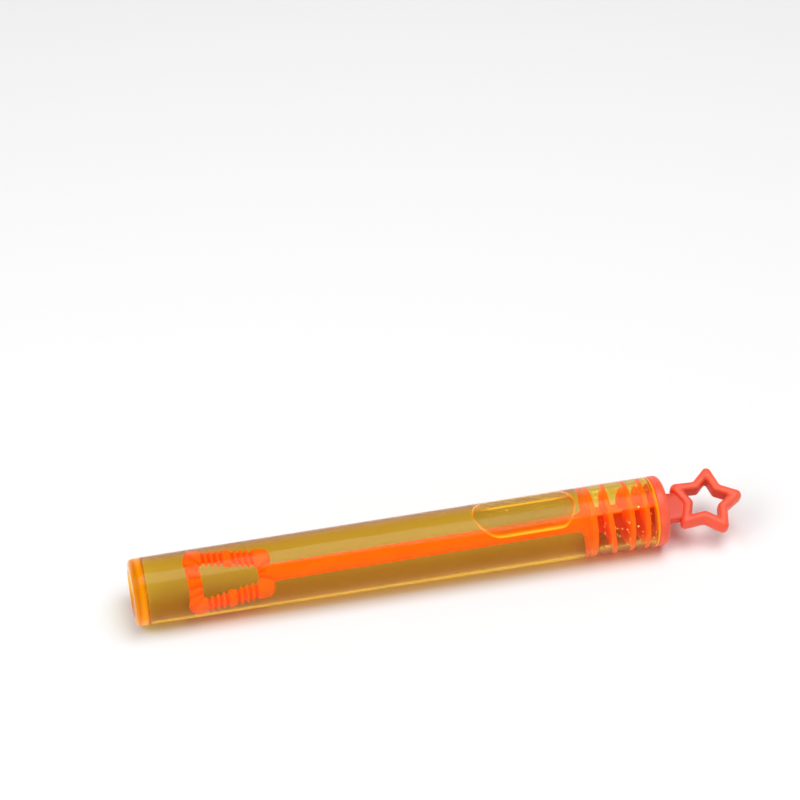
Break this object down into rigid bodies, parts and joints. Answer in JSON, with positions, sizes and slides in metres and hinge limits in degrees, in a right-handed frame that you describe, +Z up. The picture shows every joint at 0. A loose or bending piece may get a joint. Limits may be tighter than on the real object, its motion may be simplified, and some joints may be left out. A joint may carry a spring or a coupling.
{
  "type": "bubble wand",
  "caption": "Clear tube of bubble solution with a ringed push-in stopper that carries a grooved dip loop inside and an open star handle outside.",
  "frame": {"origin": "middle of the base of the bounding box: the point of the table under the middle of the wand as it lies on its side", "axes": "+X along the wand from the foot of the tube to the star, +Z up from the table that it lies on, +Y to the left of +X; the tube's axis rises towards +X by its draft, about a quarter of a degree"},
  "size_m": [0.1121, 0.013, 0.0128],
  "materials": {
    "clear_tube": "clear amber-tinted moulded plastic, polished outside",
    "coral_plastic": "soft satin moulded plastic, slightly translucent"
  },
  "bodies": {
    "tube": {"tube": "clear_tube"},
    "wand": {"stopper": "coral_plastic", "dip_stick": "coral_plastic", "star_topper": "coral_plastic"}
  },
  "joints": [
    {"name": "wand_pull", "type": "slide", "parent": "tube", "child": "wand", "axis": [1, 0, 0.0042], "range_m": [0, 0.09]}
  ]
}
